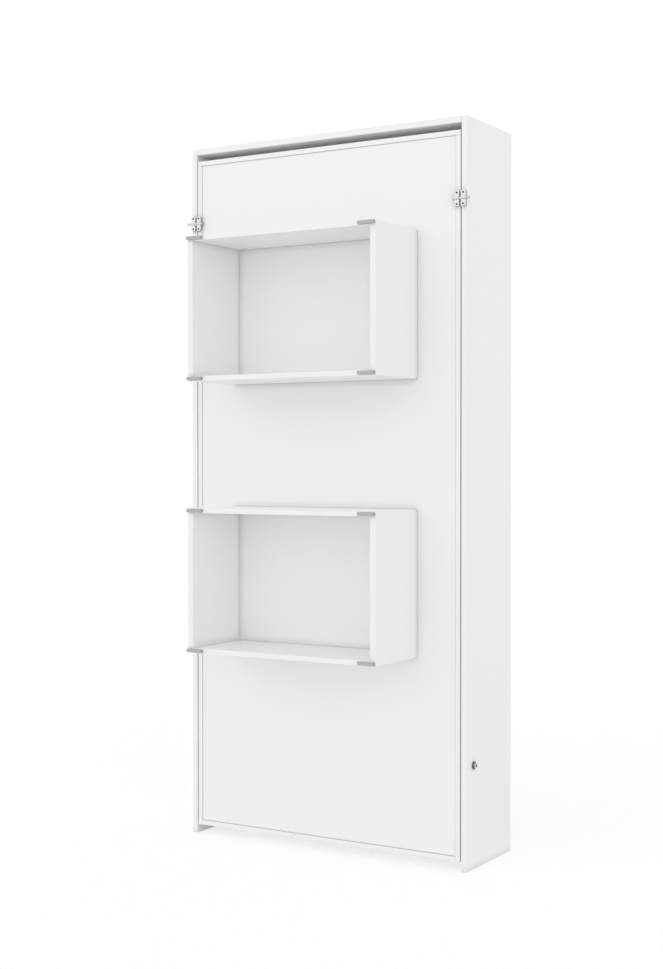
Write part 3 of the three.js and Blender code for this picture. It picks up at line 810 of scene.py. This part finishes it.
# Cuts one arm of the cross. It narrows towards its bottom.
def crossBlade(turn):
    blade = bmesh.new()
    bmesh.ops.create_cube(blade, size=1)
    for vertex in blade.verts:
        onTop = vertex.co.z > 0
        vertex.co.x *= screw["crossLength"] * (1 if onTop else screw["crossTaper"])
        vertex.co.y *= screw["crossWidth"]
        vertex.co.z = screw["headHeight"] * 2 if onTop else screw["headHeight"] - screw["crossDepth"]
    blade.transform(Matrix.Rotation(turn, 4, "Z"))
    return blade


# A pan head with a cross recess. It faces +Z and sits on the origin.
def screwHead():
    dome = [(0, 1), (0.30, 0.985), (0.56, 0.91), (0.78, 0.76), (0.93, 0.50), (1, 0.16), (0.98, 0), (0, 0)]
    profile = [(screw["headRadius"] * r, screw["headHeight"] * h) for r, h in dome]
    head = turnedMesh(profile, screw["sides"])
    head = cutAway(cutAway(head, crossBlade(0)), crossBlade(math.pi / 2))
    bmesh.ops.remove_doubles(head, verts=head.verts, dist=screw["mergeWithin"])
    bmesh.ops.dissolve_degenerate(head, edges=head.edges, dist=screw["mergeWithin"])
    return head


# Copies of the head at the given places, each turned a little further than the last.
def driveScrews(name, head, places, facing, scale, finish, body):
    mesh = bmesh.new()
    aim = Vector(facing).to_track_quat("Z", "Y").to_matrix().to_4x4()
    for number, place in enumerate(places):
        turn = Matrix.Rotation(screw["firstTurn"] + screw["furtherTurn"] * number, 4, "Z")
        copyInto(mesh, head, Matrix.Translation(place) @ aim @ turn @ Matrix.Scale(scale, 4))
    addPiece(name, mesh, finish, body)


def screwPlates(head):
    for kind, (inward, back, apart, facing) in screwedPlates.items():
        dark = kind.startswith("latch")
        finish, slot = (strutFinish, "black_paint") if dark else (metalFinish, "satin_metal")
        for side, sign in (("_right", 1), ("_left", -1)):
            low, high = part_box(kind + side)
            x = max(high.x, -low.x) - inward
            levels = [(low.z + high.z) / 2 + share * apart for share in (-0.5, 0.5)]
            places = [Vector((sign * x, low.y + back, z)) for z in levels]
            way = (sign * facing[0], facing[1], facing[2])
            body = bodyOfNode[kind + side]
            driveScrews(kind + side + "_screws", head, places, way, 1, finish, body)


def screwRail(head):
    low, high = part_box("upper_wall_rail")
    places = [Vector((x, low.y, (low.z + high.z) / 2)) for x in screw["wallScrewsAt"]]
    scale = screw["wallScrewScale"]
    driveScrews("wall_screws", head, places, (0, -1, 0), scale, metalFinish, "cabinet")


head = screwHead()
screwPlates(head)
screwRail(head)
head.free()

print("stage: mattress")

mattress = {
    "cellsAcross": 48,
    "cellsAlong": 112,
    "cellsHigh": 6,
    "corner": 0.055,  # radius of the four corners seen from above
    "crown": 0.012,
    "startCrown": 0.006,  # lower at first, because the air lifts it
    "drawIn": 0.006,  # the border is pulled in between its two seams
    "tuftRows": 7,
    "tuftColumns": 3,
    "tuftDepth": 0.012,
    "tuftSpread": 0.055,
    "tuftFade": 1.3,
    "clothMass": 0.35,
    "stretchStiffness": 20,
    "shearStiffness": 8,
    "bendingStiffness": 1.5,
    "pressure": 4.0,
    "steps": 20,
    "mostSwell": 0.010,
    "pipingRadius": 0.0024,
    "pipingSides": 8,
    "buttonRadius": 0.011,
    "buttonSides": 20,
    "buttonLift": 0.0030,
}
outermost = 0.99  # only the outside of the block has shares past this one
mattressLow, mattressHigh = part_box("mattress")
mattressMiddle = (mattressLow + mattressHigh) / 2
mattressHalf = (mattressHigh - mattressLow) / 2


# Where the buttons are, from -1 to 1 across and along.
def tuftShares():
    rows, columns = mattress["tuftRows"], mattress["tuftColumns"]
    across = [2 * (column + 0.5) / columns - 1 for column in range(columns)]
    along = [2 * (row + 0.5) / rows - 1 for row in range(rows)]
    return [(a, b) for b in along for a in across]


def tuftHollow(x, z):
    hollow = 0
    for across, along in tuftShares():
        away = math.hypot(x - across * mattressHalf.x, z - along * mattressHalf.z) / mattress["tuftSpread"]
        hollow += math.exp(-away ** mattress["tuftFade"])
    return hollow * mattress["tuftDepth"]


# Where a point of the block comes to lie on the mattress before it is blown up.
def mattressPoint(share):
    across, level, along = share
    room = mattress["pipingRadius"]
    x, z = across * (mattressHalf.x - room), along * (mattressHalf.z - room)
    rim = min(mattressHalf.x - room - abs(x), mattressHalf.z - room - abs(z))
    fade = min(1, rim / mattress["corner"])
    y = level * (mattressHalf.y - mattress["crown"])
    if level > outermost:
        y += mattress["startCrown"] * math.sin(fade * math.pi / 2) - tuftHollow(x, z) * fade
    if level < -outermost:
        y -= mattress["crown"] * math.sin(fade * math.pi / 2)
    corner = mattress["corner"]
    pastX = abs(x) - (mattressHalf.x - room - corner)
    pastZ = abs(z) - (mattressHalf.z - room - corner)
    if pastX > 0 and pastZ > 0:
        inward = max(pastX, pastZ) / math.hypot(pastX, pastZ)
        x = math.copysign(mattressHalf.x - room - corner + pastX * inward, x)
        z = math.copysign(mattressHalf.z - room - corner + pastZ * inward, z)
    drawn = mattress["drawIn"] * (1 - level ** 2)
    if abs(across) > outermost:
        x -= math.copysign(drawn, x)
    if abs(along) > outermost:
        z -= math.copysign(drawn, z)
    return Vector((x, y, z)) + mattressMiddle


# Held where it is sewn: along both seams, at the buttons and all over the side on the slats.
def isSewn(share, tufts):
    across, level, along = share
    onRim = max(abs(across), abs(along)) > outermost
    if level < -outermost or (onRim and abs(level) > outermost):
        return True
    return level > outermost and any(math.hypot(across - a, along - b) < 1e-4 for a, b in tufts)


# Air in the cover lifts it between the places where it is held.
def blowUp(piece, sewn):
    group = piece.vertex_groups.new(name="sewn")
    group.add(sewn, 1.0, "REPLACE")
    cloth = piece.modifiers.new("Cloth", "CLOTH")
    settings = cloth.settings
    settings.quality = 6
    settings.mass = mattress["clothMass"]
    settings.tension_stiffness = settings.compression_stiffness = mattress["stretchStiffness"]
    settings.shear_stiffness = mattress["shearStiffness"]
    settings.bending_stiffness = mattress["bendingStiffness"]
    settings.use_pressure = True
    settings.uniform_pressure_force = mattress["pressure"]
    settings.effector_weights.gravity = 0
    settings.vertex_group_mass = "sewn"
    cloth.collision_settings.use_collision = False
    scene = bpy.context.scene
    before = [vertex.co.copy() for vertex in piece.data.vertices]
    for step in range(1, mattress["steps"] + 1):
        scene.frame_set(step)
    graph = bpy.context.evaluated_depsgraph_get()
    blown = piece.evaluated_get(graph).data
    after = [vertex.co.copy() for vertex in blown.vertices]
    piece.modifiers.clear()
    piece.vertex_groups.clear()
    scene.frame_set(1)
    for vertex, start, end in zip(piece.data.vertices, before, after):
        move = end - start
        if move.length > mattress["mostSwell"]:
            move *= mattress["mostSwell"] / move.length
        vertex.co = start + move


# No cover goes past the space that the mattress has between the boards.
def keepInside(piece):
    room = mattress["pipingRadius"]
    for vertex in piece.data.vertices:
        away = vertex.co - mattressMiddle
        for way, limit in enumerate((mattressHalf.x - room, mattressHalf.y, mattressHalf.z - room)):
            away[way] = max(-limit, min(limit, away[way]))
        vertex.co = mattressMiddle + away


# Keeps the border's two seams sharp while the rest of the cover is rounded.
def holdSeams(piece, seams):
    creases = piece.data.attributes.new("crease_edge", "FLOAT", "EDGE")
    for edge in piece.data.edges:
        if any(seam.issuperset(edge.vertices) for seam in seams):
            creases.data[edge.index].value = 1


# The same rounding for a closed line of places as the cover gets along a seam.
def roundedLoop(loop):
    made = []
    for i, place in enumerate(loop):
        after = loop[(i + 1) % len(loop)]
        made += [(loop[i - 1] + 6 * place + after) / 8, (place + after) / 2]
    return made


def makeMattress(finish):
    counts = (mattress["cellsAcross"], mattress["cellsHigh"], mattress["cellsAlong"])
    mesh = blockSurface(counts)
    tufts = tuftShares()
    sewn, rims, hollows = [], {1: [], -1: []}, []
    mesh.verts.index_update()
    for vertex in mesh.verts:
        share = vertex.co.copy()
        if isSewn(share, tufts):
            sewn.append(vertex.index)
            onRim = max(abs(share.x), abs(share.z)) > outermost
            if onRim and abs(share.y) > outermost:
                turn = math.atan2(share.z, share.x)
                rims[round(share.y)].append((turn, vertex.index))
            elif share.y > outermost:
                hollows.append(vertex.index)
        vertex.co = mattressPoint(share)
    piece = addPiece("mattress_cover", mesh, finish, "bed")
    blowUp(piece, sewn)
    keepInside(piece)
    loops = [[i for turn, i in sorted(rims[side])] for side in (1, -1)]
    holdSeams(piece, [set(loop) for loop in loops])
    seams = [roundedLoop([piece.data.vertices[i].co.copy() for i in loop]) for loop in loops]
    buttons = [piece.data.vertices[i].co.copy() for i in hollows]
    rounding = piece.modifiers.new("Subdivision", "SUBSURF")
    rounding.levels = rounding.render_levels = 1
    applyModifiers(piece)
    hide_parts("mattress")
    return piece, seams, buttons


# The welt is sewn in along both seams of the border.
def makePiping(seams, finish):
    section = roundSection(mattress["pipingRadius"], mattress["pipingSides"])
    for name, seam in zip(("upper", "lower"), seams):
        mesh = bmesh.new()
        outward = [Vector((0, 1, 0))] * len(seam)
        sweptMesh(mesh, seam, section, outward, True)
        addPiece("mattress_welt_" + name, mesh, finish, "bed")


# A flat covered button, drawn down into the cover at every tuft.
def makeButtons(places, finish):
    radius = mattress["buttonRadius"]
    profile = [(0, 0.30), (0.35, 0.28), (0.65, 0.20), (0.88, 0.06)]
    profile += [(1.0, -0.12), (0.96, -0.30), (0.80, -0.42), (0, -0.42)]
    template = turnedMesh([(radius * r, radius * h) for r, h in profile], mattress["buttonSides"])
    template.transform(Matrix.Rotation(-math.pi / 2, 4, "X"))
    mesh = bmesh.new()
    for place in places:
        copyInto(mesh, template, Matrix.Translation(place + Vector((0, mattress["buttonLift"], 0))))
    template.free()
    addPiece("mattress_buttons", mesh, finish, "bed")


print("stage: mattress straps")

strap = {
    "width": 0.040,
    "thickness": 0.0016,
    "step": 0.003,
    "probes": 90,  # how often the height of the cover is taken along the band
    "lift": 0.0004,  # room under the band
    "buckleAt": 0.235,  # along X, on the mattress
    "buckleLength": 0.026,
    "buckleHeight": 0.0034,
    "buckleCorner": 0.005,
    "cornerSteps": 5,
    "wireSides": 10,
    "buckleRim": 0.0045,  # how far it stands out past the band on each side
    "buckleLift": 0.0012,
    "barLift": 0.0006,
    "barInset": 0.0008,
    "tail": 0.115,
    "tailWidth": 0.985,  # share of the band's width
    "tailLift": 0.0003,
    "hem": 0.024,
    "hemLift": 0.0002,
    "wallRun": 0.08,  # the lowest part of the path, beside the mattress, has no tail
}


# The highest place of the cover under the width of the band.
def heightOver(cover, x, z):
    tops = []
    for offset in (-0.5, 0, 0.5):
        hit = cover.ray_cast(Vector((x, 1, z + offset * strap["width"])), Vector((0, -1, 0)))[0]
        if hit is not None:
            tops.append(hit.y)
    return max(tops) if tops else None


# A tight band touches only the highest places of what lies between its two ends.
def tightLine(cover, z, end):
    line = []
    for i in range(1, strap["probes"]):
        x = (2 * i / strap["probes"] - 1) * end[0]
        top = heightOver(cover, x, z)
        if top is not None:
            line.append((x, top + strap["lift"]))
    line = [(-end[0], end[1])] + line + [end]
    hull = []
    for point in line:
        while len(hull) > 1:
            (ax, ay), (bx, by) = hull[-2:]
            if (bx - ax) * (point[1] - ay) - (by - ay) * (point[0] - ax) < 0:
                break
            hull.pop()
        hull.append(point)
    return hull


# The same line with its points at equal distances.
def evenly(points, step):
    lengths = [0]
    for before, after in zip(points, points[1:]):
        lengths.append(lengths[-1] + (after - before).length)
    count = max(2, round(lengths[-1] / step))
    made = []
    for i in range(count + 1):
        at = lengths[-1] * i / count
        k = max(j for j in range(len(lengths)) if lengths[j] <= at + 1e-9)
        k = min(k, len(points) - 2)
        share = (at - lengths[k]) / max(1e-9, lengths[k + 1] - lengths[k])
        made.append(points[k].lerp(points[k + 1], min(1, share)))
    return made


def softened(points, rounds):
    for turn in range(rounds):
        inner = [(points[i - 1] + 2 * points[i] + points[i + 1]) / 4 for i in range(1, len(points) - 1)]
        points = [points[0]] + inner + [points[-1]]
    return points


# A band with rounded and slightly thicker edges.
def bandSection(width, thickness):
    w, t = width / 2, thickness
    return [(-w, 0.3 * t), (-w + 0.0006, 0), (w - 0.0006, 0), (w, 0.3 * t), (w, 0.7 * t), (w - 0.0006, t),
            (w - 0.0030, 0.86 * t), (-w + 0.0030, 0.86 * t), (-w + 0.0006, t), (-w, 0.7 * t)]


# Which way is up from the band at each point, away from the mattress.
def outwardOf(points, inside):
    normals = []
    for i, place in enumerate(points):
        before, after = points[max(0, i - 1)], points[min(len(points) - 1, i + 1)]
        ahead = (after - before).normalized()
        up = ahead.cross(Vector((0, 0, 1)))
        if up.dot(place - inside) < 0:
            up.negate()
        normals.append(up)
    return normals


def makeStrap(name, node, cover, finish, metal):
    low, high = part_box(node)
    z = (low.z + high.z) / 2
    wall = high.x - strap["thickness"]  # inner face of the band where it runs up the side board
    welt = mattressMiddle.y + mattressHalf.y - mattress["crown"] + mattress["pipingRadius"]
    hull = tightLine(cover, z, (wall, welt + strap["lift"]))
    line = [Vector((x, top, z)) for x, top in [(-wall, low.y)] + hull + [(wall, low.y)]]
    path = softened(evenly(line, strap["step"]), 2)
    inside = Vector((0, low.y, z))
    mesh = bmesh.new()
    sweptMesh(mesh, path, bandSection(strap["width"], strap["thickness"]), outwardOf(path, inside), False)
    band = addPiece(name + "_band", mesh, finish, "bed")
    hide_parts(node)
    makeStrapTail(name, path, finish)
    makeBuckle(name, path, metal)


# The spare end comes back out of the buckle and lies along the band, with a folded and sewn hem.
def makeStrapTail(name, path, finish):
    first, last = strap["buckleAt"], strap["buckleAt"] - strap["tail"]
    lowest = path[0].y + strap["wallRun"]
    part = [place for place in path if last <= place.x <= first and place.y > lowest]
    raised = [place + Vector((0, strap["thickness"] + strap["tailLift"], 0)) for place in part]
    mesh = bmesh.new()
    inside = Vector((0, path[0].y, path[0].z))
    section = bandSection(strap["width"] * strap["tailWidth"], strap["thickness"])
    sweptMesh(mesh, raised, section, outwardOf(raised, inside), False)
    addPiece(name + "_tail", mesh, finish, "bed")
    hemRise = Vector((0, strap["thickness"] + strap["hemLift"], 0))
    hem = [place + hemRise for place in raised if place.x < last + strap["hem"]]
    mesh = bmesh.new()
    sweptMesh(mesh, hem, section, outwardOf(hem, inside), False)
    addPiece(name + "_hem", mesh, finish, "bed")


# A frame with a middle bar, which the band climbs over.
def makeBuckle(name, path, metal):
    middle = min(path, key=lambda place: abs(place.x - strap["buckleAt"]))
    halfLong, halfWide = strap["buckleLength"] / 2, strap["width"] / 2 + strap["buckleRim"]
    radius = strap["buckleHeight"] / 2
    corner = strap["buckleCorner"]
    loop = []
    for quarter in range(4):
        towards = (1 if quarter in (0, 3) else -1, 1 if quarter < 2 else -1)
        for i in range(strap["cornerSteps"] + 1):
            turn = math.radians(90 * (quarter + i / strap["cornerSteps"]))
            x = towards[0] * (halfLong - corner) + corner * math.cos(turn)
            z = towards[1] * (halfWide - corner) + corner * math.sin(turn)
            loop.append(Vector((x, 0, z)))
    mesh = bmesh.new()
    section = [(a * 0.8, b) for a, b in roundSection(radius, strap["wireSides"])]
    sweptMesh(mesh, loop, section, [Vector((0, 1, 0))] * len(loop), True)
    reach = halfWide - strap["barInset"]
    bar = [Vector((0, strap["barLift"], z)) for z in (-reach, 0, reach)]
    barSection = roundSection(radius * 0.9, strap["wireSides"])
    sweptMesh(mesh, bar, barSection, [Vector((0, 1, 0))] * 3, False)
    rise = Vector((0, 2 * strap["thickness"] + strap["buckleLift"], 0))
    mesh.transform(Matrix.Translation(middle + rise))
    addPiece(name + "_buckle", mesh, metal, "bed")


clothFinish = tickingCloth()
strapFinish = wovenBand("elasticWebbing", "black")
cover, seams, hollows = makeMattress(clothFinish)
makePiping(seams, wovenBand("weltTape", "grey"))
makeButtons(hollows, clothFinish)
graph = bpy.context.evaluated_depsgraph_get()
coverTree = BVHTree.FromObject(cover, graph)
for side in ("upper", "lower"):
    makeStrap(side + "_strap", side + "_mattress_strap", coverTree, strapFinish, metalFinish)
